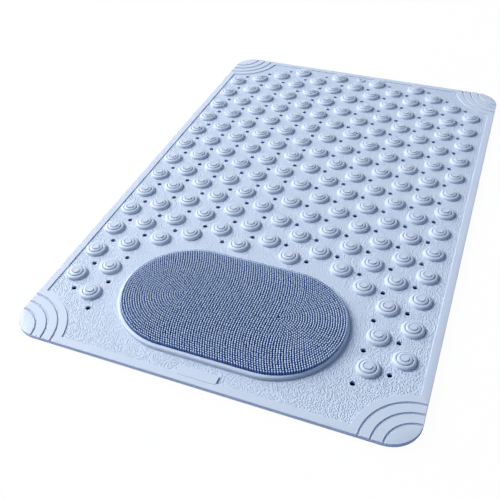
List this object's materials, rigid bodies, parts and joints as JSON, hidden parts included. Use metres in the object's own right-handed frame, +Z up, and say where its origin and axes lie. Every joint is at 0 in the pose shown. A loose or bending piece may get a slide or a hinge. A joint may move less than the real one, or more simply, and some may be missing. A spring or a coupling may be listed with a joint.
{
  "type": "bath massage mat",
  "caption": "Rectangular bath massage mat in soft pale blue rubber, with tiered massage domes, drain holes, an oval foot brush pad and suction cups underneath",
  "frame": {"origin": "middle of the mat, on the floor plane that the suction cups' lips stand on", "axes": "+X runs across the mat, +Y runs along it from the brush pad's end to the eyelet's end, +Z points up out of the domes"},
  "size_m": [0.5, 0.785, 0.0176],
  "materials": {
    "mat": "satin, finely grained between the domes"
  },
  "bodies": {
    "root": {"mat": "mat"}
  },
  "joints": []
}
